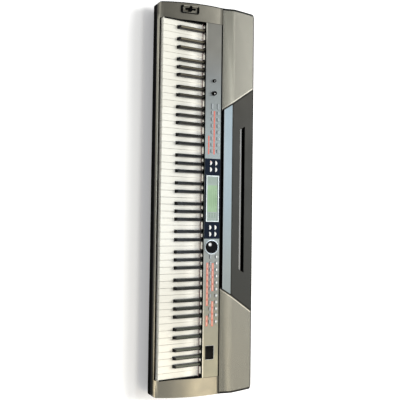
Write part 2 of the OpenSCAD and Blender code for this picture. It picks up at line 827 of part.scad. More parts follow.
module rear_deck() {
    step_z = deck_z - deck_t - 2;
    riser_y = groove_y + 2.5;
    strip_drop = (deck_z - strip_z0) / (strip_y1 - strip_y0);
    color("#55554f") difference() {
        union() {
            intersection() {
                linear_extrude(2 * deck_z) centre_plan(strip_y1 + 0.2, rear_y - wall - rim_gap, diag_gap);
                deck_skin(deck_t);
            }
            // Box around the slot
            translate([0, (slot_y0 + slot_y1) / 2, deck_z - slot_depth - 1.5])
                box(2 * slot_half + 6, slot_y1 - slot_y0 + 6, slot_depth);
            // Floor of the groove and the slope that carries the strip
            intersection() {
                linear_extrude(2 * deck_z) centre_plan(deck_front_y, strip_y1 + 10, diag_gap);
                along_x(case_length) polygon([
                    [deck_front_y + 1, beam_top_z], [riser_y, beam_top_z],
                    [riser_y, strip_z0 - deck_t - 2], [strip_y1, step_z], [strip_y1 + 10, step_z],
                    [strip_y1 + 10, deck_z - deck_t], [strip_y1, deck_z - deck_t],
                    [strip_y0 + 0.2, strip_z0 - deck_t + 0.2 * strip_drop],
                    [strip_y0 + 0.2, beam_top_z + 2], [deck_front_y + 1, beam_top_z + 2]
                ]);
            }
            // Ledges under the inner edges of the two grilles
            intersection() {
                linear_extrude(2 * deck_z) difference() {
                    centre_plan(strip_y0 + 4, diag_rear_y, -6);
                    centre_plan(strip_y0 + 3, diag_rear_y + 1, diag_gap + 6);
                }
                deck_skin(2, deck_t);
            }
        }
        translate([0, 0, deck_z - slot_depth]) linear_extrude(2 * slot_depth)
            polygon([
                [-slot_half + 12, slot_y0], [slot_half - 12, slot_y0],
                [slot_half, slot_y1], [-slot_half, slot_y1]
            ]);
    }
}
module deck_strip() {
    color("#b9cbd9") intersection() {
        linear_extrude(2 * deck_z) centre_plan(strip_y0, strip_y1, diag_gap);
        deck_skin(deck_t);
    }
}
module speaker_frame(s) {
    color("#2c2c2e") translate([s * speaker_x, speaker_y, speaker_z]) difference() {
        union() {
            translate([0, 0, -2]) cylinder(r = speaker_radius, h = 2, $fn = 64);
            translate([0, 0, -basket_h]) cylinder(r1 = 22, r2 = cone_r + 2, h = basket_h - 1, $fn = 64);
            translate([0, 0, -basket_h - 18]) cylinder(r = 30, h = 18, $fn = 64);
        }
        translate([0, 0, 1 - basket_h]) cylinder(r1 = 19.5, r2 = cone_r, h = basket_h - 1, $fn = 64);
        translate([0, 0, -1]) cylinder(r = cone_r, h = 2, $fn = 64);
        for (a = [45:90:315]) rotate([0, 0, a]) translate([speaker_radius - 3, 0, -5])
            cylinder(r = 1.8, h = 8, $fn = 24);
    }
}
module speaker_cone(s) {
    color("#1a1a1a") translate([s * speaker_x, speaker_y, speaker_z]) difference() {
        union() {
            translate([0, 0, 2 - basket_h]) cylinder(r1 = 18, r2 = cone_r - 2, h = basket_h - 2, $fn = 64);
            translate([0, 0, -0.9]) cylinder(r = cone_r - 0.4, h = 1.4, $fn = 64);
        }
        translate([0, 0, 3.5 - basket_h]) cylinder(r1 = 16.5, r2 = cone_r - 3, h = basket_h - 2, $fn = 64);
    }
    color("#222224") translate([s * speaker_x, speaker_y, speaker_z + 3 - basket_h])
        cylinder(r = 14, h = 7, $fn = 48);
}
module left_speaker_frame() {
    speaker_frame(-1);
}
module right_speaker_frame() {
    speaker_frame(1);
}
module left_speaker_cone() {
    speaker_cone(-1);
}
module right_speaker_cone() {
    speaker_cone(1);
}

// ---------- Electronics and connectors ----------

module main_board() {
    board_z = 22;
    chip_z = board_z + board_t - 0.1;
    color("darkgreen") difference() {
        translate([-330, 84, board_z]) cube([370, 66, board_t]);
        for (x = [-322, 32], y = [90, 144]) translate([x, y, board_z - 1])
            cylinder(r = board_hole_r, h = board_t + 2, $fn = 24);
    }
    // Processor, memory and the power supply's heat sink
    color("#303030") {
        translate([-200, 100, chip_z]) cube([28, 28, 3]);
        translate([-120, 104, chip_z]) cube([20, 12, 3]);
        translate([-20, 100, chip_z]) cube([40, 12, 18]);
    }
}
module jack_plate() {
    color("#161618") difference() {
        translate([plate_x, rear_y - wall / 2, plate_z0 + 0.3]) box(plate_w, wall - 1, plate_h - 0.6);
        for (x = jack_x) rear_hole(x, jack_bore_r + 2.4);
        for (x = midi_x) rear_hole(x, 8.2);
        translate([usb_x, rear_y, jack_z - 5.6]) box(12.4, 3 * wall, 11.2);
        rear_hole(dc_x, 5.2);
    }
}
module rear_hole(x, r) {
    translate([x, rear_y + 1, jack_z]) rotate([90, 0, 0]) cylinder(r = r, h = 2 * wall, $fn = 32);
}
module phone_jacks() {
    color("#2a2a2c") for (x = jack_x) translate([x, rear_y, jack_z]) rotate([90, 0, 0]) difference() {
        union() {
            translate([0, 0, 0.2]) cylinder(r = jack_bore_r + 2, h = 6, $fn = 32);
            translate([-7.5, -7.5, wall + 0.2]) cube([15, 15, jack_depth]);
        }
        cylinder(r = jack_bore_r, h = jack_depth, $fn = 48);
    }
}
module midi_sockets() {
    color("#1e1e20") for (x = midi_x) translate([x, rear_y, jack_z]) rotate([90, 0, 0]) difference() {
        union() {
            translate([0, 0, 0.6]) cylinder(r = 7.9, h = 4, $fn = 48);
            translate([-10, -9, wall + 0.2]) cube([20, 18, 11]);
        }
        difference() {
            cylinder(r = 7.2, h = 9, $fn = 48);
            translate([0, 0, 0.6]) cylinder(r = 6, h = 9, $fn = 48);
        }
        for (a = [0:45:180]) rotate([0, 0, a]) translate([4, 0, 0]) cylinder(r = 0.8, h = 8, $fn = 16);
    }
}
module usb_socket() {
    color("silver") translate([usb_x, rear_y - 0.4, jack_z]) difference() {
        translate([0, -8, -5.4]) box(12, 16, 10.8);
        translate([0, -5, -4]) box(9, 14, 8);
    }
    color("white") translate([usb_x, rear_y - 0.4, jack_z]) translate([0, -8, -1.6]) box(5.6, 13, 3.2);
}
module dc_inlet() {
    color("#202022") translate([dc_x, rear_y, jack_z]) rotate([90, 0, 0]) difference() {
        union() {
            translate([0, 0, 0.4]) cylinder(r = 4.9, h = 4, $fn = 32);
            translate([-6, -5.5, wall + 0.2]) cube([12, 11, 11]);
        }
        difference() {
            cylinder(r = 2.9, h = 10, $fn = 32);
            cylinder(r = 1, h = 11, $fn = 24);
        }
    }
}

// ---------- Parts ----------

bottom_case();
top_case();
control_panel();
key_slip_strip();
display_bezel();
display_frame();
lcd_screen();
rear_deck();
deck_strip();
left_speaker_grille();
right_speaker_grille();
left_speaker_frame();
left_speaker_cone();
right_speaker_frame();
right_speaker_cone();
key_felt();
key_chassis();
key_hinge_rod();
key_contact_board();
main_board();
panel_board();
jack_plate();
phone_jacks();
midi_sockets();
usb_socket();
dc_inlet();
rubber_feet();
case_screws();
joystick_well();
switch_bezel();
dial_ring();
single_key(0);  // key_c_4
single_key(1);  // key_c_sharp_4
single_key(2);  // key_d_4
single_key(3);  // key_d_sharp_4
single_key(4);  // key_e_4
single_key(5);  // key_f_4
single_key(6);  // key_f_sharp_4
single_key(7);  // key_g_4
single_key(8);  // key_g_sharp_4
single_key(9);  // key_a_4
single_key(10);  // key_a_sharp_4
single_key(11);  // key_b_4
white_key_range(9, 23);  // white_keys_a0_b1
black_key_range(9, 23);  // black_keys_a0_b1
white_key_range(24, 47);  // white_keys_c2_b3
black_key_range(24, 47);  // black_keys_c2_b3
white_key_range(60, 83);  // white_keys_c5_b6
black_key_range(60, 83);  // black_keys_c5_b6
white_key_range(84, 96);  // white_keys_c7_c8
black_key_range(84, 96);  // black_keys_c7_c8
joystick_gimbal();
joystick_lever();
data_dial();
volume_knob();
contrast_knob();
power_rocker();
left_buttons();
right_buttons();
display_buttons();
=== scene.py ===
import json
import math

import bpy
from mathutils import Matrix, Vector


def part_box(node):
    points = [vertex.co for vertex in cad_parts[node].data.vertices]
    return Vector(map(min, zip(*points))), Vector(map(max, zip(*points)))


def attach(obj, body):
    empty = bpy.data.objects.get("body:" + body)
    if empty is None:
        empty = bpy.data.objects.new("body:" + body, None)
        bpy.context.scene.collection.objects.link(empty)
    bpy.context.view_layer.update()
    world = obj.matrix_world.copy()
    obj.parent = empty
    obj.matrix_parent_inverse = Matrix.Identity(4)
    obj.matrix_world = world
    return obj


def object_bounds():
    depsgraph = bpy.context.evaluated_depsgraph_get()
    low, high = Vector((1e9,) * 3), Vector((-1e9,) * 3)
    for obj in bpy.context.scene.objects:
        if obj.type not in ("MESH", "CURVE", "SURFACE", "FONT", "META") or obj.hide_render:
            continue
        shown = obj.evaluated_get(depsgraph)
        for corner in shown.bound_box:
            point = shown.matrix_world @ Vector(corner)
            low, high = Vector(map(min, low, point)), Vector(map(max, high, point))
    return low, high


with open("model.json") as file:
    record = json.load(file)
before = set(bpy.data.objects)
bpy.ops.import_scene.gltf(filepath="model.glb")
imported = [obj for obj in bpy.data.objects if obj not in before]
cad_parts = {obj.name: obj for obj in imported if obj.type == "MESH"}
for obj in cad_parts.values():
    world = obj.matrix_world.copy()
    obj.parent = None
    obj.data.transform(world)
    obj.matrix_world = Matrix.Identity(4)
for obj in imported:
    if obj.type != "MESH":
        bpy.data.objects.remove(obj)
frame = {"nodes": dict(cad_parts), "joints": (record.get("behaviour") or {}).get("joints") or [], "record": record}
cad_lo, cad_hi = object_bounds()
NODES = frame["nodes"]
scene = bpy.context.scene
MM = 0.001


# ---------------------------------------------------------------- places
def joint(name):
    """The frame's row for a joint."""
    return next(j for j in frame["joints"] if j["name"] == name)


dial = joint("data_dial_turn")
PANEL_UP = Vector(dial["axis"]).normalized()
if PANEL_UP.z < 0:
    PANEL_UP.negate()
PANEL_V = Vector((0.0, PANEL_UP.z, -PANEL_UP.y))
panel_lo, panel_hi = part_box("control_panel")
PANEL_THICKNESS = 2.5 * MM
PANEL_DEPTH = 64.6  # up the slope, in millimetres
# The middle of the top face's rear edge, from the node's own box.
PANEL_REAR = Vector((0.0, panel_hi.y + PANEL_THICKNESS * PANEL_UP.y, panel_hi.z))


def on_panel(x, v, up=0.0):
    """Row-frame point for panel coordinates in millimetres.

    x runs along the piano, v up the slope from the panel's front edge, up away from its face.
    """
    slope = PANEL_V * ((v - PANEL_DEPTH) * MM)
    return PANEL_REAR + Vector((x * MM, 0, 0)) + slope + PANEL_UP * (up * MM)


def panel_coordinates(point):
    """The (x, v) of a point in the row frame, in millimetres."""
    away = Vector(point) - PANEL_REAR
    return away.x / MM, away.dot(PANEL_V) / MM + PANEL_DEPTH


DIAL_X, DIAL_V = panel_coordinates(dial["pos_m"])
CONTRAST_X, KNOB_V = panel_coordinates(joint("contrast_turn")["pos_m"])
VOLUME_X = panel_coordinates(joint("volume_turn")["pos_m"])[0]


def knob_size(node):
    """Radius of a knob and the height of its top over the panel, in millimetres."""
    lo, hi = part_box(node)
    top = max((v.co - PANEL_REAR).dot(PANEL_UP) for v in NODES[node].data.vertices)
    return (hi.x - lo.x) / 2 / MM, top / MM


CONTRAST_R, CONTRAST_TOP = knob_size("contrast_knob")
VOLUME_R, VOLUME_TOP = knob_size("volume_knob")

BAY_HALF = panel_hi.x + 0.4 * MM  # half the width of the keyboard's bay
PANEL_FRONT_Y, PANEL_REAR_Y = panel_lo.y, panel_hi.y
RAIL_REAR = cad_lo.y + 7.5 * MM  # rear face of the front rail
# Each end is an arc of radius BOW_R about (BOW_X beyond the middle, BOW_Y), in metres.
BOW_X, BOW_Y, BOW_R = 1827.5 * MM, -28 * MM, 2.5
STRIP_Y, STRIP_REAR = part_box("deck_strip")[0].y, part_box("deck_strip")[1].y
KEY_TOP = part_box("key_c_sharp_4")[1].z
STRIP_FRONT_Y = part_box("key_slip_strip")[0].y
SLOT_TOP = 0.1275  # faces of the rear deck below this height are inside its slot
BLACK_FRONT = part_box("key_c_sharp_4")[0].y
STICK_X, STICK_Y = joint("joystick_fore_aft")["pos_m"][:2]
WHITE_PITCH = 23.5 * MM
OCTAVE = 164.5 * MM
# Centres of the five black keys of an octave, from the front left corner of its C.
BLACK_CENTRES = []
for sharp in ("key_c_sharp_4", "key_d_sharp_4", "key_f_sharp_4", "key_g_sharp_4", "key_a_sharp_4"):
    lo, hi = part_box(sharp)
    BLACK_CENTRES.append((lo.x + hi.x) / 2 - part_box("key_c_4")[0].x)
FIRST_C = -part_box("key_c_4")[0].x
WHITE_LO, WHITE_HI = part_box("key_c_4")
# The slanted seam between the rear deck and a grille, as two points (|x|, y).
SEAM_FRONT, SEAM_REAR = (0.308, 0.054), (0.391, 0.172)


# ---------------------------------------------------------------- materials
class Mat:
    """A small wrapper for building a node material in object coordinates (metres)."""

    def __init__(self, name, **constants):
        self.mat = bpy.data.materials.new(name)
        self.mat.use_nodes = True
        self.nt = self.mat.node_tree
        self.nt.nodes.clear()
        self.out = self.new("ShaderNodeOutputMaterial")
        self.bsdf = self.new("ShaderNodeBsdfPrincipled")
        self.link(self.bsdf.outputs["BSDF"], self.out.inputs["Surface"])
        self.pos = self.new("ShaderNodeTexCoord").outputs["Object"]
        for key, value in constants.items():
            self.bsdf.inputs[key.replace("_", " ")].default_value = value

    def new(self, kind, **props):
        node = self.nt.nodes.new(kind)
        for key, value in props.items():
            setattr(node, key, value)
        return node

    def link(self, a, b):
        self.nt.links.new(a, b)

    def put(self, socket, value):
        if isinstance(value, bpy.types.NodeSocket):
            self.link(value, socket)
        else:
            socket.default_value = value

    def set(self, name, value):
        self.put(self.bsdf.inputs[name], value)

    def math(self, op, a, b=0.0):
        node = self.new("ShaderNodeMath", operation=op)
        for socket, value in zip(node.inputs, (a, b)):
            self.put(socket, value)
        return node.outputs[0]

    def vmath(self, op, a, b=(0, 0, 0)):
        node = self.new("ShaderNodeVectorMath", operation=op)
        self.put(node.inputs[0], a)
        self.put(node.inputs[1], b)
        return node.outputs["Value" if op in ("LENGTH", "DISTANCE") else "Vector"]

    def xyz(self, vector=None):
        node = self.new("ShaderNodeSeparateXYZ")
        self.put(node.inputs[0], vector or self.pos)
        return node.outputs

    def vec(self, x=0.0, y=0.0, z=0.0):
        node = self.new("ShaderNodeCombineXYZ")
        for socket, value in zip(node.inputs, (x, y, z)):
            self.put(socket, value)
        return node.outputs[0]

    def noise(self, scale, detail=2.0, rough=0.5, stretch=None):
        node = self.new("ShaderNodeTexNoise")
        where = self.vmath("MULTIPLY", self.pos, stretch) if stretch else self.pos
        self.put(node.inputs["Vector"], where)
        node.inputs["Scale"].default_value = scale
        node.inputs["Detail"].default_value = detail
        node.inputs["Roughness"].default_value = rough
        return node.outputs["Fac"]

    def cells(self, scale, output="Color"):
        node = self.new("ShaderNodeTexVoronoi")
        self.put(node.inputs["Vector"], self.pos)
        node.inputs["Scale"].default_value = scale
        return node.outputs[output]

    def span(self, value, lo, hi, to0=0.0, to1=1.0):
        """Maps lo..hi to to0..to1, clamped."""
        node = self.new("ShaderNodeMapRange")
        for socket, v in zip(node.inputs, (value, lo, hi, to0, to1)):
            self.put(socket, v)
        return node.outputs[0]

    def mix(self, fac, a, b, blend="MIX"):
        node = self.new("ShaderNodeMix", data_type="RGBA", blend_type=blend)
        self.put(node.inputs["Factor"], fac)
        self.put(node.inputs[6], rgba(a))
        self.put(node.inputs[7], rgba(b))
        return node.outputs[2]

    def facing(self):
        """Components of the surface's own normal, in the object's axes."""
        return self.xyz(self.new("ShaderNodeTexCoord").outputs["Normal"])

    def shade(self, base, factor):
        """Base colour times a grey factor."""
        return self.mix(1.0, base, self.vec(factor, factor, factor), "MULTIPLY")

    def filtered(self, base, colour):
        """Base colour seen through a coloured filter."""
        return self.mix(1.0, base, colour, "MULTIPLY")

    def above(self, value, at, soft=0.2 * MM):
        """1 where value is above at, 0 below, with a short soft step."""
        return self.span(value, at - soft, at + soft)

    def below(self, value, at, soft=0.2 * MM):
        """The reverse of above."""
        return self.span(value, at - soft, at + soft, 1.0, 0.0)

    def off(self, value, centre):
        """Distance of value from centre."""
        return self.math("ABSOLUTE", self.math("SUBTRACT", value, centre))

    def every(self, *gates):
        """1 where all gates are 1."""
        total = gates[0]
        for gate in gates[1:]:
            total = self.math("MULTIPLY", total, gate)
        return total

    def some(self, *gates):
        """1 where any gate is 1."""
        total = gates[0]
        for gate in gates[1:]:
            total = self.math("MAXIMUM", total, gate)
        return total

    def bump(self, height, depth, strength=1.0):
        """Relief in the normal; depth in metres."""
        node = self.new("ShaderNodeBump")
        self.put(node.inputs["Height"], height)
        node.inputs["Distance"].default_value = depth
        node.inputs["Strength"].default_value = strength
        self.link(node.outputs[0], self.bsdf.inputs["Normal"])


def rgba(c):
    """A colour with its alpha; a socket stays as it is."""
    if isinstance(c, (tuple, list)):
        return (*c[:3], 1.0)
    return c


def tint(colour, k):
    """The colour made k times as bright."""
    return tuple(min(1.0, v * k) for v in colour)


# Black for the areas that the zones paint black, mostly as shade.
ZONE_BLACK = (0.004, 0.004, 0.004)
DECK = (0.042, 0.043, 0.038)
# A painted warm reflection on the deck.
DECK_WARM_REFLECTION = (0.042, 0.039, 0.031)
# Colour of the painted highlight in the dial's dimple.
DIMPLE_HIGHLIGHT = (0.86, 0.87, 0.88)
ROOT_3 = 1.732


def metallic_paint(name, colour, rough=0.36, metal=0.6, flake=0.10, coat=0.25, spec=0.5,
                   zones=None):
    """Lacquer with fine flakes, a soft mottle and faint handling marks in its gloss.

    zones(m, base) returns the base colour, with any painted light and shade, and a mask of areas painted black,
    mostly as shade.
    """
    m = Mat(name, Metallic=metal, IOR=1.5, Coat_Weight=coat, Coat_Roughness=0.12,
            Specular_IOR_Level=spec)
    flakes = m.xyz(m.cells(1700.0))[0]
    mottle = m.noise(380.0, 3.0)
    cloud = m.noise(6.0, 3.0)
    base = m.mix(m.span(mottle, 0.3, 0.7), tint(colour, 0.94), tint(colour, 1.05))
    base = m.mix(m.span(cloud, 0.3, 0.75, 0.0, 0.5), base, tint(colour, 0.92))
    base = m.shade(base, m.span(flakes, 0.0, 1.0, 1.0 - flake, 1.0 + flake))
    gloss_map = m.span(m.noise(22.0, 4.0), 0.3, 0.7, rough - 0.04, rough + 0.05)
    if zones:
        base, black = zones(m, base)
        base = m.mix(black, base, ZONE_BLACK)
        gloss_map = m.math("ADD", gloss_map, m.math("MULTIPLY", black, 0.25))
        m.set("Metallic", m.span(black, 0.0, 1.0, metal, 1.0))
    m.set("Base Color", base)
    m.set("Roughness", gloss_map)
    relief = m.math("ADD", m.noise(1500.0, 2.0), m.math("MULTIPLY", flakes, 0.4))
    m.bump(relief, 0.00003, 0.5)
    return m.mat


def moulded(name, colour, rough=0.5, grain=1400.0, depth=0.00004, spec=0.5, coat=0.0):
    """Injection-moulded plastic with a fine eroded grain and slight tone changes."""
    m = Mat(name, IOR=1.49, Specular_IOR_Level=spec, Coat_Weight=coat, Coat_Roughness=0.1)
    tone = m.noise(9.0, 3.0)
    speck = m.noise(grain * 0.7, 2.0)
    base = m.mix(m.span(tone, 0.3, 0.7), tint(colour, 0.93), tint(colour, 1.08))
    base = m.mix(m.span(speck, 0.35, 0.65, 0.0, 0.35), base, tint(colour, 1.16))
    m.set("Base Color", base)
    m.set("Roughness", m.span(m.noise(60.0, 4.0), 0.3, 0.7, rough - 0.05, rough + 0.06))
    m.bump(m.noise(grain, 3.0, 0.6), depth, 0.6)
    return m.mat


def gloss(name, colour, rough=0.14, smear=0.10, spec=0.12, coat=0.06, dimple_highlight=None):
    """Polished plastic: very fine surface ripple, with faint smears in the gloss.

    The last argument is the centre and radius of a sphere whose surface carries a painted highlight, pale near its
    lowest point and fading out around it.
    """
    m = Mat(name, IOR=1.5, Coat_Weight=coat, Coat_Roughness=0.04, Specular_IOR_Level=spec)
    smears = m.noise(30.0, 5.0, 0.6, stretch=(1.0, 0.25, 1.0))
    base = m.mix(m.span(m.noise(14.0, 3.0), 0.3, 0.7), tint(colour, 0.85), tint(colour, 1.2))
    # A painted highlight on the sphere's surface, pale near its lowest point and fading out.
    if dimple_highlight:
        centre, radius = dimple_highlight
        away = m.vmath("DISTANCE", m.pos, tuple(centre))
        on_dish = m.below(m.off(away, radius), 0.35 * MM, 0.1 * MM)
        lowest = Vector(centre) - PANEL_UP * radius
        from_lowest = m.vmath("DISTANCE", m.pos, tuple(lowest))
        fade = m.span(from_lowest, 3.2 * MM, 7.6 * MM, 1.0, 0.0)
        base = m.mix(m.every(on_dish, fade), base, DIMPLE_HIGHLIGHT)
    m.set("Base Color", base)
    m.set("Roughness", m.span(smears, 0.35, 0.75, rough, rough + smear))
    m.bump(m.noise(160.0, 3.0), 0.00002, 0.3)
    return m.mat


def printed(name, colour, rough=0.45):
    """Screen-printed ink: slightly uneven cover and tiny pinholes."""
    m = Mat(name, IOR=1.45)
    cover = m.noise(1800.0, 2.0)
    m.set("Base Color", m.mix(m.span(cover, 0.25, 0.6), tint(colour, 0.80), colour))
    m.set("Roughness", m.span(m.noise(500.0, 2.0), 0.3, 0.7, rough - 0.08, rough + 0.08))
    m.bump(cover, 0.00002, 0.4)
    return m.mat


def steel(name, colour=(0.56, 0.57, 0.58), rough=0.28, along=(1.0, 40.0, 40.0)):
    """Plated or drawn steel, brushed along one direction."""
    m = Mat(name, Metallic=1.0)
    brush = m.noise(60.0, 3.0, 0.6, stretch=along)
    m.set("Base Color", m.mix(m.span(brush, 0.3, 0.7), tint(colour, 0.85), tint(colour, 1.08)))
    m.set("Roughness", m.span(brush, 0.3, 0.7, rough - 0.06, rough + 0.1))
    m.bump(brush, 0.00002, 0.4)
    return m.mat


def bow_radius(m, x, y):
    """Distance from the centre of the arc that bows the nearer end."""
    beyond = m.math("ADD", m.math("ABSOLUTE", x), BOW_X)
    return m.vmath("LENGTH", m.vec(beyond, m.math("SUBTRACT", y, BOW_Y), 0.0))


def black_key_distance(m):
    """Distance along x to the centre line of the nearest black key."""
    octave = m.math("MODULO", m.math("ADD", m.xyz()[0], FIRST_C + 8 * OCTAVE), OCTAVE)
    nearest = None
    for centre in BLACK_CENTRES:
        away = m.off(octave, centre)
        nearest = away if nearest is None else m.math("MINIMUM", nearest, away)
    return nearest


def bronze_zones(m, base):
    """Light of the photo on the upper case, with its black seams and bay walls.

    The front rail carries painted light, brighter towards the bass end, and the treble front corner and forward
    faces towards the treble carry painted shade; the end blocks carry painted highlights and shade that change
    along and across the piano; and the bay walls, nose, rear rim and bass end are painted black as shade.
    """
    x, y, z = m.xyz()
    side = m.math("ABSOLUTE", x)
    rail = m.every(m.below(y, RAIL_REAR, 0.3 * MM), m.below(side, 0.6125, 12 * MM))
    # Painted light on the front rail, brighter towards the bass end.
    bass = m.span(x, -0.5, 0.15, 1.0, 0.0)
    rail_painted_light = m.math("ADD", m.math("MULTIPLY", m.math("POWER", bass, 2.0), 1.50), 0.98)

    # Painted highlights and shade on the end blocks, changing along and across the piano.
    fore = m.span(y, -0.165, 0.04)
    front_painted_shading = m.span(x, -0.3, 0.3, 0.84, 1.50)
    rear_painted_shading = m.span(x, -0.3, 0.3, 1.09, 0.64)
    block_painted_shading = m.span(fore, 0.0, 1.0, front_painted_shading, rear_painted_shading)

    # Painted shade on faces that look forward, towards the treble.
    forward_painted_shade = m.span(m.facing()[1], -0.25, -0.75, 1.0, 0.40)
    shade = m.math("MULTIPLY", m.span(rail, 0.0, 1.0, block_painted_shading, rail_painted_light),
                   m.span(x, -0.2, 0.4, 1.0, forward_painted_shade))
    # Painted shade over the treble front corner.
    corner = m.every(m.below(y, cad_lo.y + 11 * MM, 5 * MM), m.span(x, 0.45, 0.62))
    shade = m.math("MULTIPLY", shade, m.span(corner, 0.0, 1.0, 1.0, 0.16))
    base = m.shade(base, shade)

    # Black painted as shade on the bay walls, the nose, the rear rim and the bowed bass end.
    bay = m.every(m.below(side, BAY_HALF + 0.35 * MM), m.above(y, RAIL_REAR + 0.3 * MM))
    nose = m.every(m.below(z, 65.7 * MM), m.below(y, -0.150, 2 * MM))
    rear = m.above(y, PANEL_REAR_Y + 0.5 * MM)
    bow = bow_radius(m, x, y)
    end = m.every(m.above(bow, BOW_R - 3.2 * MM, 0.6 * MM), m.below(x, 0.0))
    return base, m.some(bay, nose, rear, end)


def liner_zones(m, base):
    """Painted shadow, black, on the ends and the treble side of the joystick's well."""
    x, y, _ = m.xyz()
    ends = m.above(m.off(y, STICK_Y), 24.5 * MM, 0.8 * MM)
    sides = m.above(m.off(x, STICK_X), 10.4 * MM, 0.4 * MM)
    return base, m.some(ends, m.every(sides, m.above(x, STICK_X)))


def deck_zones(m, base):
    """Painted shade and reflection: darker and warmer at the bass end, with the groove before it, the slot and the
    rear edge painted black as shade.

    The slot's floor shows a pale line, as in the photo.
    """
    x, y, z = m.xyz()
    # Black painted as shade in the groove, the slot and along the rear edge.
    groove = m.below(y, STRIP_Y + 0.1 * MM)
    slot = m.below(z, SLOT_TOP)
    slot_floor = m.below(z, SLOT_TOP - 8.5 * MM)
    line = m.every(slot_floor, m.above(y, 0.1285, 0.6 * MM), m.below(y, 0.1350, 0.6 * MM))
    rear = m.above(y, cad_hi.y - 6.5 * MM, 0.8 * MM)
    # Painted shade along the deck, darker towards the bass end, and a painted warm reflection there.
    base = m.shade(base, m.span(x, -0.35, 0.35, 0.56, 0.72))
    warm = m.span(x, -0.40, -0.12, 1.0, 0.0)
    base = m.mix(m.math("MULTIPLY", warm, 0.6), base, DECK_WARM_REFLECTION)
    base = m.mix(line, base, (0.66, 0.66, 0.66))
    return base, m.some(groove, m.every(slot, m.math("SUBTRACT", 1.0, line)), rear)


def strip_zones(m, base):
    """Painted light: brighter at the bass end, a warm painted reflection at the treble, a pale painted highlight
    along the front edge, black painted as shade at the front's foot, and a dark rear.
    """
    x, y, _ = m.xyz()
    # Painted light and reflections on the strip.
    base = m.shade(base, m.span(x, -0.1, 0.3, 1.20, 0.88))
    rear = m.above(y, STRIP_REAR - 3.8 * MM, 0.5 * MM)
    front = m.every(m.below(y, STRIP_Y + 5.0 * MM, 1.5 * MM), m.span(x, -0.30, 0.25, 1.0, 0.45))
    base = m.mix(m.span(x, 0.02, 0.25), base, m.filtered(base, (1.06, 0.97, 0.88)))
    base = m.mix(m.math("MULTIPLY", front, 0.6), base, (0.72, 0.80, 0.84))
    base = m.mix(rear, base, DECK)
    # Black painted as shade at the foot of the front edge.
    return base, m.below(y, STRIP_Y + 1.6 * MM, 0.4 * MM)


def panel_zones(m, base):
    """Painted reflections: warm at both ends and cool in the middle, with a bright painted highlight along the
    front edge and black painted as shade along the rear edge.
    """
    x, y, _ = m.xyz()
    # Painted reflections, warm at both ends and cool in the middle.
    treble = m.span(x, 0.12, 0.52)
    middle = m.every(m.span(x, -0.45, -0.2), m.span(x, 0.25, 0.10))
    bass = m.span(x, -0.52, -0.42, 1.0, 0.0)
    base = m.mix(treble, base, m.filtered(base, (0.98, 0.94, 0.76)))
    base = m.mix(middle, base, m.filtered(base, (1.10, 1.20, 1.22)))
    base = m.mix(bass, base, m.filtered(base, (1.02, 0.97, 0.88)))
    # A painted highlight along the front edge, near both ends.
    edge = m.below(y, PANEL_FRONT_Y + 3.0 * MM, 1.6 * MM)
    glint = m.some(m.span(x, -0.52, -0.60, 0.0, 0.6), m.span(x, 0.15, 0.55, 0.0, 0.55))
    base = m.mix(m.every(edge, glint), base, (0.86, 0.84, 0.74))
    # Black painted as shade along the rear edge.
    return base, m.above(y, PANEL_REAR_Y - 2.5 * MM, 0.4 * MM)


def slip_zones(m, base):
    """A painted reflection of the white keys between the black ones; painted black above, as the panel's shadow.
    """
    x, _, z = m.xyz()
    between = m.above(black_key_distance(m), 8.6 * MM, 1.0 * MM)
    inside = m.below(m.math("ABSOLUTE", x), 0.606, 1.5 * MM)
    low = m.below(z, 99.5 * MM, 0.8 * MM)
    return base, m.math("SUBTRACT", 1.0, m.every(between, inside, low))


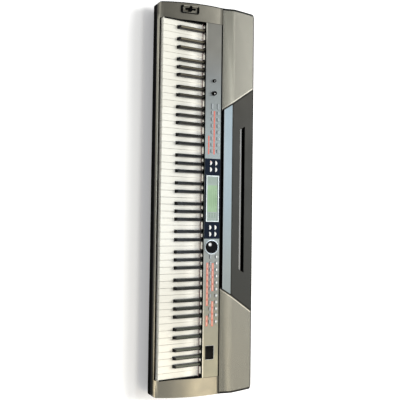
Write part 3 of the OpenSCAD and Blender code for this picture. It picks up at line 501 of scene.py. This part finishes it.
def perforated(name, colour):
    """Lacquered sheet with a hexagonal pattern of small punched holes."""
    m = Mat(name, Metallic=0.45, IOR=1.5, Coat_Weight=0.10, Coat_Roughness=0.25)
    x, y, _ = m.xyz()
    pitch = 1.9 * MM

    def cell(value, size, shift):
        """Position across a cell, from -0.5 to 0.5."""
        place = m.math("ADD", m.math("DIVIDE", value, size), shift)
        return m.math("SUBTRACT", m.math("FRACT", place), 0.5)

    def lattice(shift):
        """Distance to the nearest hole of one of the two lattices, in pitches."""
        v = m.math("MULTIPLY", cell(y, pitch * ROOT_3, shift), ROOT_3)
        return m.vmath("LENGTH", m.vec(cell(x, pitch, shift), v, 0.0))

    solid = m.span(m.math("MINIMUM", lattice(0.0), lattice(0.5)), 0.25, 0.31)
    fleck = m.noise(420.0, 3.0)
    streak = m.noise(14.0, 3.0, 0.6, stretch=(1.0, 5.0, 1.0))
    base = m.mix(m.span(fleck, 0.3, 0.7), tint(colour, 0.93), tint(colour, 1.06))
    base = m.mix(m.span(streak, 0.35, 0.7, 0.0, 0.5), base, tint(colour, 0.93))
    line = m.noise(260.0, 2.0, 0.6, stretch=(0.06, 1.0, 1.0))
    base = m.mix(m.span(line, 0.35, 0.65, 0.0, 0.5), base, tint(colour, 0.84))

    # Painted light: brighter at the bass end and on the slope before the crease.
    tone = m.span(x, -0.45, 0.45, 1.18, 0.90)
    uneven_y = m.math("ADD", y, m.math("MULTIPLY", m.noise(9.0), 0.004))
    base = m.shade(base, m.span(uneven_y, 0.086, 0.100, tone, 0.67))

    # A painted highlight along the slanted seam, and painted shade next to the panel.
    seam = m.span(y, SEAM_FRONT[1], SEAM_REAR[1], SEAM_FRONT[0], SEAM_REAR[0])
    across = m.math("SUBTRACT", m.math("ABSOLUTE", x), seam)
    base = m.mix(m.below(across, 8.0 * MM, 1.0 * MM), base, (0.74, 0.71, 0.60))
    beside_panel = m.below(y, PANEL_REAR_Y + 7 * MM, 3 * MM)
    base = m.shade(base, m.span(beside_panel, 0.0, 1.0, 1.0, 0.55))

    # Painted shade at the gaps by the seam, the rear and the bowed end.
    gap = m.some(m.below(across, 4.4 * MM, 0.6 * MM), m.above(y, cad_hi.y - 6.6 * MM, 0.6 * MM),
                 m.above(bow_radius(m, x, y), BOW_R - 6.8 * MM, 0.6 * MM))
    base = m.shade(base, m.span(gap, 0.0, 1.0, 1.0, 0.06))
    m.set("Base Color", m.mix(solid, tint(colour, 0.10), base))
    m.set("Roughness", m.span(solid, 0.0, 1.0, 0.8, 0.42))
    m.bump(solid, 0.0002, 0.5)
    return m.mat


def key_white(name):
    """Moulded key tops: warm white, each a hair different, with a faint sheen of use.

    They carry painted light: brighter towards the bass end, and brighter with a slight glow at the rear, where the
    panel would shade them.
    """
    m = Mat(name, IOR=1.5, Coat_Weight=0.25, Coat_Roughness=0.08, Emission_Strength=1.0)
    x, y, _ = m.xyz()
    each = m.new("ShaderNodeTexWhiteNoise", noise_dimensions="1D")
    number = m.math("DIVIDE", m.math("ADD", x, 26 * WHITE_PITCH), WHITE_PITCH)
    m.put(each.inputs["W"], m.math("FLOOR", number))
    base = m.mix(each.outputs["Value"], (0.735, 0.725, 0.650), (0.775, 0.765, 0.690))
    clouds = m.noise(16.0, 4.0, 0.6)
    base = m.mix(m.span(clouds, 0.35, 0.75, 0.0, 0.5), base, (0.72, 0.705, 0.625))
    # Painted light at the rear, where the panel would shade the keys.
    base = m.mix(m.span(y, -0.085, -0.020), base, (0.97, 0.955, 0.88))
    # Painted light, brighter towards the bass end.
    base = m.shade(base, m.span(x, -0.60, -0.10, 1.10, 0.96))
    m.set("Base Color", base)
    # A painted glow at the rear.
    m.set("Emission Color", m.shade(base, m.span(y, -0.070, -0.022, 0.0, 0.22)))
    wear = m.noise(70.0, 4.0, 0.6, stretch=(1.0, 0.2, 1.0))
    m.set("Roughness", m.span(wear, 0.3, 0.7, 0.20, 0.34))
    m.bump(m.noise(900.0, 2.0), 0.00001, 0.35)
    return m.mat


def key_black(name):
    """Polished black keys, with a painted reflection that makes their tops paler towards both ends of the
    keyboard.
    """
    m = Mat(name, IOR=1.52, Coat_Weight=0.05, Coat_Roughness=0.08, Specular_IOR_Level=0.12)
    x, y, z = m.xyz()
    wear = m.noise(120.0, 4.0, 0.65, stretch=(9.0, 0.35, 1.0))
    base = m.mix(m.span(wear, 0.35, 0.75), (0.004, 0.004, 0.005), (0.010, 0.010, 0.011))
    top = m.every(m.above(z, KEY_TOP - 0.5 * MM), m.above(y, BLACK_FRONT + 9 * MM, 2 * MM))
    top = m.every(top, m.below(black_key_distance(m), 2.9 * MM, 0.5 * MM))
    # Painted reflections on the tops, warm at the bass end and grey-green at the treble.
    bass = m.math("POWER", m.span(x, -0.60, -0.12, 1.0, 0.0), 1.8)
    treble = m.math("POWER", m.span(x, 0.15, 0.60), 1.6)
    base = m.mix(m.every(top, bass), base, (0.185, 0.165, 0.115))
    base = m.mix(m.every(top, treble), base, (0.105, 0.120, 0.095))
    m.set("Base Color", base)
    m.set("Roughness", m.span(wear, 0.3, 0.75, 0.13, 0.27))
    m.bump(m.noise(300.0, 3.0, 0.5, stretch=(3.0, 0.4, 1.0)), 0.00002, 0.3)
    return m.mat


def felt(name, colour):
    """Woven felt: loose fibres, darker between them."""
    m = Mat(name, Roughness=0.95, Sheen_Weight=0.5, Sheen_Roughness=0.5, Specular_IOR_Level=0.2)
    fibre = m.noise(900.0, 5.0, 0.75, stretch=(1.0, 3.0, 3.0))
    m.set("Base Color", m.mix(m.span(fibre, 0.3, 0.7), tint(colour, 0.55), tint(colour, 1.35)))
    m.bump(fibre, 0.0004, 0.8)
    return m.mat


def lcd_glass(name, deep, pale, glow):
    """Backlit display: a faint dot grid and an uneven backlight under a clear window."""
    m = Mat(name, Roughness=0.3, IOR=1.5, Coat_Weight=0.15, Coat_Roughness=0.03,
            Specular_IOR_Level=0.3, Emission_Strength=glow)
    x, y, _ = m.xyz()
    dot = 0.9 * MM
    u = m.math("PINGPONG", m.math("DIVIDE", x, dot), 0.5)
    v = m.math("PINGPONG", m.math("DIVIDE", y, dot), 0.5)
    grid = m.span(m.math("MINIMUM", u, v), 0.04, 0.12)
    uneven = m.noise(18.0, 2.0)
    base = m.mix(m.span(uneven, 0.3, 0.7), deep, pale)
    gaps = m.math("SUBTRACT", 1.0, grid)
    base = m.mix(m.math("MULTIPLY", gaps, 0.3), base, tint(deep, 0.6))
    m.set("Base Color", base)
    m.set("Emission Color", base)
    return m.mat


def circuit(name):
    """Solder mask over copper tracks: a fine rectilinear pattern with pads."""
    m = Mat(name, IOR=1.5, Coat_Weight=0.3, Coat_Roughness=0.2)
    y = m.xyz()[1]
    jog_step, spacing = 2 * MM, 2.2 * MM
    jog = m.math("MULTIPLY", m.math("FLOOR", m.math("MULTIPLY", m.noise(35.0, 1.0), 6.0)), jog_step)
    line = m.math("PINGPONG", m.math("DIVIDE", m.math("ADD", y, jog), spacing), 0.5)
    track = m.span(line, 0.18, 0.24)
    pads = m.span(m.cells(160.0, output="Distance"), 0.10, 0.13)
    base = m.mix(track, (0.012, 0.17, 0.06), (0.006, 0.085, 0.03))
    base = m.mix(pads, (0.62, 0.60, 0.52), base)
    m.set("Base Color", base)
    m.set("Roughness", m.span(pads, 0.0, 1.0, 0.3, 0.42))
    m.bump(m.math("ADD", m.math("SUBTRACT", 1.0, track), pads), 0.00006, 0.5)
    return m.mat


def paper_cone(name):
    """Pressed black paper pulp."""
    m = Mat(name, Roughness=0.85, Sheen_Weight=0.2)
    fibre = m.noise(500.0, 6.0, 0.75)
    dark, pale = (0.012, 0.012, 0.013), (0.045, 0.043, 0.04)
    m.set("Base Color", m.mix(m.span(fibre, 0.3, 0.7), dark, pale))
    m.bump(fibre, 0.0002, 0.7)
    return m.mat


BRONZE = (0.30, 0.285, 0.235)
BLACK = (0.003, 0.003, 0.0035)
M = {
    "case_upper": metallic_paint("bronze_lacquer", BRONZE, rough=0.34, metal=0.7, coat=0.12,
                                 zones=bronze_zones),
    "well_liner": metallic_paint("liner_lacquer", tint(BRONZE, 1.25), rough=0.40, metal=0.3,
                                 zones=liner_zones),
    "case_lower": moulded("black_shell", (0.0018, 0.0018, 0.002), rough=0.6, grain=1100.0,
                          depth=0.00008, spec=0.008),
    "panel": metallic_paint("silver_lacquer", (0.205, 0.213, 0.209), rough=0.36, metal=0.5,
                            flake=0.06, coat=0.1, zones=panel_zones),
    # The slip's pale colour is a painted reflection of the white keys; its zones paint the rest black as shade.
    "slip": metallic_paint("slip_lacquer", (0.92, 0.90, 0.86), rough=0.10, metal=0.75,
                           flake=0.03, coat=0.1, zones=slip_zones),
    "navy": gloss("navy_overlay", (0.003, 0.007, 0.019), rough=0.10, spec=0.03, coat=0.02),
    "frame_white": metallic_paint("silver_white", (0.62, 0.67, 0.66), rough=0.30, metal=0.3,
                                  flake=0.04),
    "lcd": lcd_glass("lcd_glass", (0.27, 0.335, 0.30), (0.33, 0.40, 0.36), 0.06),
    "lcd_active": lcd_glass("lcd_active_area", (0.235, 0.37, 0.205), (0.31, 0.46, 0.28), 0.08),
    "deck_dark": metallic_paint("deck_lacquer", DECK, rough=0.45, metal=0.2, flake=0.12,
                                coat=0.0, spec=0.18, zones=deck_zones),
    "deck_blue": metallic_paint("strip_lacquer", (0.50, 0.62, 0.69), rough=0.32, metal=0.25,
                                flake=0.05, zones=strip_zones),
    "grille": perforated("perforated_sheet", (0.42, 0.41, 0.345)),
    "speaker_basket": moulded("powder_coat", (0.03, 0.03, 0.032), rough=0.6, grain=900.0),
    "speaker_cone": paper_cone("paper_cone"),
    "felt": felt("red_felt", (0.16, 0.012, 0.020)),
    "brown_felt": felt("brown_felt", (0.11, 0.055, 0.028)),
    "steel": steel("zinc_steel"),
    "board": circuit("circuit_board"),
    "socket_black": moulded("socket_moulding", (0.018, 0.018, 0.02), rough=0.42),
    "feet": moulded("rubber", (0.016, 0.016, 0.017), rough=0.78, grain=700.0, depth=0.0001,
                    spec=0.3),
    "white_key": key_white("key_ivory_white"),
    "black_key": key_black("key_polished_black"),
    "gloss_black": gloss("gloss_black", BLACK, rough=0.10, spec=0.04, coat=0.01),
    # The dial's dimple carries a painted highlight.
    "dial": gloss("dial_black", BLACK, rough=0.08, spec=0.02, coat=0.008,
                  dimple_highlight=(on_panel(DIAL_X - 9, DIAL_V - 8, 18.4), 14 * MM)),
    "black_trim": moulded("black_trim", BLACK, rough=0.35, spec=0.05),
    "switch_frame": moulded("switch_frame", (0.006, 0.006, 0.007), rough=0.4, spec=0.1),
    "button_grey": moulded("button_grey", (0.32, 0.355, 0.37), rough=0.42, coat=0.1, spec=0.3),
    "button_white": moulded("button_white", (0.82, 0.83, 0.81), rough=0.38, coat=0.1, spec=0.3),
    "ring": metallic_paint("satin_ring", (0.45, 0.47, 0.48), rough=0.25, metal=0.8, flake=0.03),
    "ink_red": printed("ink_red", (0.72, 0.16, 0.11)),
    "ink_cream": printed("ink_cream", (0.80, 0.70, 0.56)),
    "ink_dark": printed("ink_dark", (0.05, 0.055, 0.06)),
    "ink_light": printed("ink_light", (0.72, 0.75, 0.74)),
    "lcd_ink": printed("lcd_ink", (0.17, 0.25, 0.17), rough=0.35),
}


# ---------------------------------------------------------------- CAD nodes
def shade_smooth_group():
    """A node group that only switches smooth shading on."""
    group = bpy.data.node_groups.new("shade_smooth", "GeometryNodeTree")
    group.interface.new_socket("Geometry", in_out="INPUT", socket_type="NodeSocketGeometry")
    group.interface.new_socket("Geometry", in_out="OUTPUT", socket_type="NodeSocketGeometry")
    source = group.nodes.new("NodeGroupInput")
    smooth = group.nodes.new("GeometryNodeSetShadeSmooth")
    target = group.nodes.new("NodeGroupOutput")
    group.links.new(source.outputs[0], smooth.inputs[0])
    group.links.new(smooth.outputs[0], target.inputs[0])
    return group


SMOOTH = shade_smooth_group()


def soften(obj, width, segments=2, angle=35.0):
    """Rounds a CAD solid's sharp edges and smooths its shading, without touching its mesh."""
    weld = obj.modifiers.new("weld", "WELD")
    weld.merge_threshold = 1e-6
    planar = obj.modifiers.new("planar", "DECIMATE")
    planar.decimate_type = "DISSOLVE"
    planar.angle_limit = math.radians(0.3)
    bevel = obj.modifiers.new("bevel", "BEVEL")
    bevel.width = width
    bevel.segments = segments
    bevel.limit_method = "ANGLE"
    bevel.angle_limit = math.radians(angle)
    bevel.miter_outer = "MITER_ARC"
    bevel.use_clamp_overlap = True
    smooth = obj.modifiers.new("smooth", "NODES")
    smooth.node_group = SMOOTH
    normals = obj.modifiers.new("normals", "WEIGHTED_NORMAL")
    normals.weight = 60
    normals.keep_sharp = False


SLOT = {row["node"]: row["material_slot"] for row in frame["record"]["subparts"]}
LOOK = {"data_dial": "dial", "right_buttons": "button_grey", "power_rocker": "black_trim"}
# Width of the rounded edges, in millimetres.
PLAIN_EDGE = 0.25
EDGE = {
    "white_key": 0.7, "black_key": 1.1, "gloss_black": 0.4, "button_grey": 0.4,
    "button_white": 0.4, "feet": 1.2, "case_upper": 0.5, "case_lower": 0.9, "navy": 0.2,
    "frame_white": 0.5, "lcd": 0.2, "grille": 0.5, "deck_dark": 0.5, "deck_blue": 0.5,
    "panel": 0.6, "switch_frame": 0.5, "ring": 0.3,
}
for name, node in NODES.items():
    slot = SLOT[name]
    node.data.materials.clear()
    node.data.materials.append(M[LOOK.get(name, slot)])
    soften(node, EDGE.get(slot, PLAIN_EDGE) * MM)


# ---------------------------------------------------------------- building
INK = 0.12  # height of the print over the panel, in millimetres
TOP_INSET = 0.12  # the most that a prism's top is drawn in


def slab_points(w, d, r, steps=3):
    """Outline of a rounded rectangle, counter-clockwise."""
    points = []
    for cx, cy, start in ((1, 1, 0), (-1, 1, 90), (-1, -1, 180), (1, -1, 270)):
        for i in range(steps + 1):
            a = math.radians(start + 90 * i / steps)
            points.append((cx * (w / 2 - r) + r * math.cos(a), cy * (d / 2 - r) + r * math.sin(a)))
    return points


class Build:
    """Collects verts and faces of one piece, in the row frame."""

    def __init__(self):
        self.verts, self.faces = [], []

    def prism(self, outline, place, height, rim=0.15):
        """A low prism with a small chamfer round its top.

        The outline and height are in millimetres, rim is the chamfer's part of the height, and
        place maps (x, y, z) to the row frame.
        """
        n = len(outline)
        cx = sum(p[0] for p in outline) / n
        cy = sum(p[1] for p in outline) / n
        base = len(self.verts)
        for z, drawn_in in ((0.0, False), (height - rim * height, False), (height, True)):
            for px, py in outline:
                if drawn_in:
                    dx, dy = px - cx, py - cy
                    length = math.hypot(dx, dy) or 1.0
                    inset = min(TOP_INSET, length * 0.2)
                    px, py = px - dx / length * inset, py - dy / length * inset
                self.verts.append(place(px, py, z))
        for ring in range(2):
            for i in range(n):
                j = (i + 1) % n
                a, b = base + ring * n, base + (ring + 1) * n
                self.faces.append((a + i, a + j, b + j, b + i))
        self.faces.append(tuple(base + 2 * n + i for i in range(n)))
        self.faces.append(tuple(base + i for i in reversed(range(n))))

    def slab(self, x, v, w, d, h, r=0.3, up=0.0):
        """A rounded slab on the panel: centre (x, v), size w by d by h, corners r, raised up."""
        corners = slab_points(w, d, min(r, w / 2 - 0.01, d / 2 - 0.01))
        self.prism([(x + px, v + py) for px, py in corners],
                   lambda px, py, z: on_panel(px, py, up + z), h)

    def beam(self, outline, x0, x1):
        """A bar along x between x0 and x1, with its (y, z) outline in millimetres."""
        self.prism(outline, lambda py, pz, px: Vector((x0 + px, py, pz)) * MM, x1 - x0, 0.02)

    def done(self, name, material, body):
        """Makes the piece, which rides on a body."""
        mesh = bpy.data.meshes.new(name)
        mesh.from_pydata([tuple(v) for v in self.verts], [], self.faces)
        mesh.validate()
        mesh.update()
        obj = bpy.data.objects.new(name, mesh)
        scene.collection.objects.link(obj)
        obj.data.materials.append(M[material])
        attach(obj, body)


# ---------------------------------------------------------------- print on the panel
PITCH = 22.2  # from button to button
LEFT_X = [-297 + PITCH * i for i in range(7)]
RIGHT_X = [201.6 + PITCH * i for i in range(11)]

# Red bars from x0 to x1, each as a row of boxes; the tall ones have a cream core.
red = Build()
core = Build()
for x0, x1, v, tall in ((-305, -152, 38.0, 5.4), (-217, -152, 17.6, 5.0), (223, 320, 38.7, 7.2),
                        (354, 440, 38.7, 7.2), (221, 369, 18.2, 7.0), (402, 439, 18.2, 7.0)):
    count = round((x1 - x0) / PITCH)
    width = (x1 - x0) / count
    for i in range(count):
        x = x0 + (i + 0.5) * width
        red.slab(x, v, width - 1.2, tall, INK, 0.5)
        if tall > 6:
            core.slab(x, v, width - 7.0, 1.8, INK, 0.4, INK)
red.done("print_red_bars", "ink_red", "case")
core.done("print_bar_cores", "ink_cream", "case")

# Dashes in place of the lettering by each button.
DASH = 0.9
dark = Build()
light = Build()
for x in LEFT_X + RIGHT_X:
    for v in (46.4, 25.0):
        dark.slab(x - 0.8, v, 9.0, DASH, INK)
    light.slab(x, 58.6, 7.0, DASH, INK)
dark.done("print_dark_labels", "ink_dark", "case")
light.done("print_light_labels", "ink_light", "case")

# White windows on the upper row of the right-hand buttons.
BUTTON_TOP = 2.0
dots = Build()
for x in RIGHT_X:
    dots.slab(x, 52.0, 6.4, 4.2, 0.25, 1.6, BUTTON_TOP)
dots.done("button_windows", "button_white", "right_buttons")

# Painted highlights on the edges of the power switch's recess, drawn as lines of print, and ticks round the two
# knobs.
marks = Build()
switch_lo, switch_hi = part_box("switch_bezel")
near, far = switch_lo.x / MM, switch_hi.x / MM
switch_v = [panel_coordinates(vert.co)[1] for vert in NODES["switch_bezel"].data.vertices]
v0, v1 = min(switch_v), max(switch_v)
for x, v, w, d in ((far + 0.8, (v0 + v1) / 2, 1.1, v1 - v0),
                   ((near + far) / 2, v1 + 0.8, far - near + 1, 1.2),
                   (near - 0.6, (v0 + v1) / 2, 0.7, v1 - v0)):
    marks.slab(x, v, w, d, INK, 0.2)
for x, r in ((CONTRAST_X, 7.8), (VOLUME_X, 10.2)):
    for degrees in (-150, -110, -70, -30, 30, 70, 110, 150):
        a = math.radians(degrees)
        marks.slab(x + r * math.sin(a), KNOB_V + r * math.cos(a), DASH, DASH, INK, 0.2)
marks.done("print_marks", "ink_light", "case")


def knob_highlight_dot(name, x, radius, top, body):
    """A painted highlight on a knob's top, near its rim, made as a white pointer mark."""
    size = radius * 0.46
    mark = Build()
    mark.slab(x + radius * 0.25, KNOB_V - radius * 0.1, size, size, 0.15, radius * 0.2, top)
    mark.done(name, "button_white", body)


# Painted highlights on the knobs' tops, made as white dots.
knob_highlight_dot("contrast_pointer", CONTRAST_X, CONTRAST_R, CONTRAST_TOP, "contrast_knob")
knob_highlight_dot("volume_pointer", VOLUME_X, VOLUME_R, VOLUME_TOP, "volume_knob")


# ---------------------------------------------------------------- keyboard bay
BAY = BAY_HALF / MM

# Black filler strips between the outermost keys and the end blocks, standing in for the shade at the sides of the
# bay.
trim = Build()
low = WHITE_HI.z / MM + 0.6
y0, y1 = WHITE_LO.y / MM + 2, STRIP_FRONT_Y / MM - 4
for side in (-1, 1):
    outer, inner = side * (BAY - 0.1), side * (BAY - 4.6)
    trim.beam([(y0, low), (y1, low), (y1, low + 8), (y0, low + 1)],
              min(outer, inner), max(outer, inner))
trim.done("bay_end_trim", "black_trim", "case")

# Felt behind the front rail.
rug = Build()
rug.beam([(-158.6, 43), (-157.6, 43), (-157.6, 49), (-158.6, 49)], -BAY + 1, BAY - 1)
rug.done("front_felt", "brown_felt", "case")


# ---------------------------------------------------------------- display
LCD_UP = 0.82  # the screen's face over the panel's
LCD_V = 33.6  # the screen's middle

show = Build()
show.slab(0.8, LCD_V, 92, 37, 0.10, 0.8, LCD_UP)
show.done("lcd_active_window", "lcd_active", "case")

# Plain segments: columns on the left, blocks on the right, and lines on the green window.
SEGMENT = 0.06
ON_WINDOW = LCD_UP + 0.10
ink = Build()
for i in range(6):
    ink.slab(-53.0 - 3.6 * i * 0.98, LCD_V, 0.7, 33.0 - 2.0 * (i % 2), SEGMENT, 0.2, LCD_UP)
for i in range(3):
    for v in (23.5, 33.5, 43.5):
        ink.slab(53.5 + 5.4 * i, v, 2.6, 6.4 - 2 * (i % 2), SEGMENT, 0.3, LCD_UP)
for v in (24.0, 31.0, 38.5, 45.0):
    ink.slab(0.0, v, 70.0 - abs(v - 34) * 1.5, 0.55, SEGMENT, 0.2, ON_WINDOW)
for i in range(7):
    ink.slab(-36.0 + 12.0 * i, 47.5, 5.0, 1.0, SEGMENT, 0.2, ON_WINDOW)
ink.done("lcd_segments", "lcd_ink", "case")


def over_panel(point):
    """Height of a point over the panel's face, in millimetres."""
    return (point - PANEL_REAR).dot(PANEL_UP) / MM


# A red lamp on the bass-side front button of the four by the display.
moons = [vert.co for vert in NODES["display_buttons"].data.vertices]
moon_lo = min(p.x for p in moons)
first_moons = [p for p in moons if p.x < moon_lo + 12 * MM]
moon_top = max(over_panel(p) for p in first_moons)
moon_v = min(panel_coordinates(p)[1] for p in first_moons if over_panel(p) > moon_top - 0.3)
lamp = Build()
lamp.slab(moon_lo / MM + 5.5, moon_v + 2.2, 4.6, 2.6, 0.15, 1.2, moon_top)
lamp.done("button_lamp", "ink_red", "display_buttons")


# ---------------------------------------------------------------- stage
def floor_material():
    """White paper with a weak glow, which lightens the shadow as in the photo."""
    m = Mat("floor_paper", Roughness=0.9, Specular_IOR_Level=0.1, Emission_Strength=0.26,
            Emission_Color=(1.0, 1.0, 1.0, 1.0))
    dim, white = (0.94, 0.94, 0.94), (0.96, 0.96, 0.96)
    m.set("Base Color", m.mix(m.span(m.noise(3.0, 3.0), 0.3, 0.7), dim, white))
    m.bump(m.noise(300.0, 3.0), 0.0001, 0.2)
    return m.mat


FLOOR = 30.0  # half the side of the floor, in metres
corners = [(-FLOOR, -FLOOR, 0), (FLOOR, -FLOOR, 0), (FLOOR, FLOOR, 0), (-FLOOR, FLOOR, 0)]
floor_mesh = bpy.data.meshes.new("floor")
floor_mesh.from_pydata(corners, [], [(0, 1, 2, 3)])
floor = bpy.data.objects.new("floor", floor_mesh)
scene.collection.objects.link(floor)
floor.data.materials.append(floor_material())


def softbox(name, at, towards, size, power, colour):
    """A rectangular area light, its front turned to a point."""
    data = bpy.data.lights.new(name, "AREA")
    data.shape = "RECTANGLE"
    data.size, data.size_y = size
    data.energy = power
    data.color = colour
    light = bpy.data.objects.new(name, data)
    light.location = at
    light.rotation_mode = "QUATERNION"
    light.rotation_quaternion = (Vector(at) - Vector(towards)).to_track_quat("Z", "Y")
    scene.collection.objects.link(light)


softbox("cool_overhead", (-0.15, 0.95, 2.6), (0.0, 0.0, 0.1), (1.3, 0.5), 9.0, (0.80, 0.91, 1.0))
softbox("warm_overhead", (1.35, 0.75, 2.4), (0.6, 0.0, 0.1), (0.9, 0.8), 14.0, (1.0, 0.86, 0.62))

# The main light, wide and soft, from behind and a little from the bass side.
sun = bpy.data.lights.new("key_sun", "SUN")
sun.energy = 2.6
sun.angle = math.radians(26)
sun.color = (1.0, 0.985, 0.96)
key = bpy.data.objects.new("key_sun", sun)
key.rotation_mode = "QUATERNION"
key.rotation_quaternion = Vector((-0.22, 1.0, 0.80)).to_track_quat("Z", "Y")
scene.collection.objects.link(key)


def studio_world():
    """Soft surroundings: dim above and in front, brighter behind, palest at the horizon."""
    world = bpy.data.worlds.new("studio")
    scene.world = world
    world.use_nodes = True
    nt = world.node_tree
    back = nt.nodes["Background"]
    coord = nt.nodes.new("ShaderNodeTexCoord")
    split = nt.nodes.new("ShaderNodeSeparateXYZ")
    nt.links.new(coord.outputs["Generated"], split.inputs[0])

    def span(value, lo, hi, to0, to1):
        node = nt.nodes.new("ShaderNodeMapRange")
        node.interpolation_type = "SMOOTHSTEP"
        nt.links.new(value, node.inputs[0])
        for socket, v in zip(node.inputs[1:5], (lo, hi, to0, to1)):
            socket.default_value = v
        return node.outputs[0]

    def calc(op, a, b):
        node = nt.nodes.new("ShaderNodeMath")
        node.operation = op
        nt.links.new(a, node.inputs[0])
        nt.links.new(b, node.inputs[1])
        return node.outputs[0]

    depth = span(split.outputs[1], -0.2, 0.6, 0.22, 0.62)
    skyline = span(split.outputs[2], 0.15, 0.75, 0.62, 0.0)
    nt.links.new(calc("ADD", depth, skyline), back.inputs["Strength"])
    back.inputs["Color"].default_value = (0.975, 0.985, 1.0, 1.0)


studio_world()

scene.view_settings.view_transform = "Standard"


# ---------------------------------------------------------------- camera
def aim(location, forward, right, lens, shift):
    """A camera looking along forward, with right as the picture's right-hand side."""
    data = bpy.data.cameras.new("camera")
    data.lens = lens
    data.sensor_width = 36.0
    data.clip_start, data.clip_end = 0.05, 100.0
    data.shift_x = shift
    obj = bpy.data.objects.new("camera", data)
    f = Vector(forward).normalized()
    r = Vector(right)
    r = (r - f * r.dot(f)).normalized()
    u = r.cross(f)
    rotation = Matrix((r, u, -f)).transposed()
    obj.matrix_world = Matrix.Translation(location) @ rotation.to_4x4()
    scene.collection.objects.link(obj)
    scene.camera = obj


# Fitted to the corners of the keyboard: a view from the front and above, turned on its side.
aim((0.0822, -0.9972, 1.8529), (-0.03762, 0.48531, -0.87353), (-0.01353, 0.87382, 0.48606),
    lens=52.56, shift=0.0010)
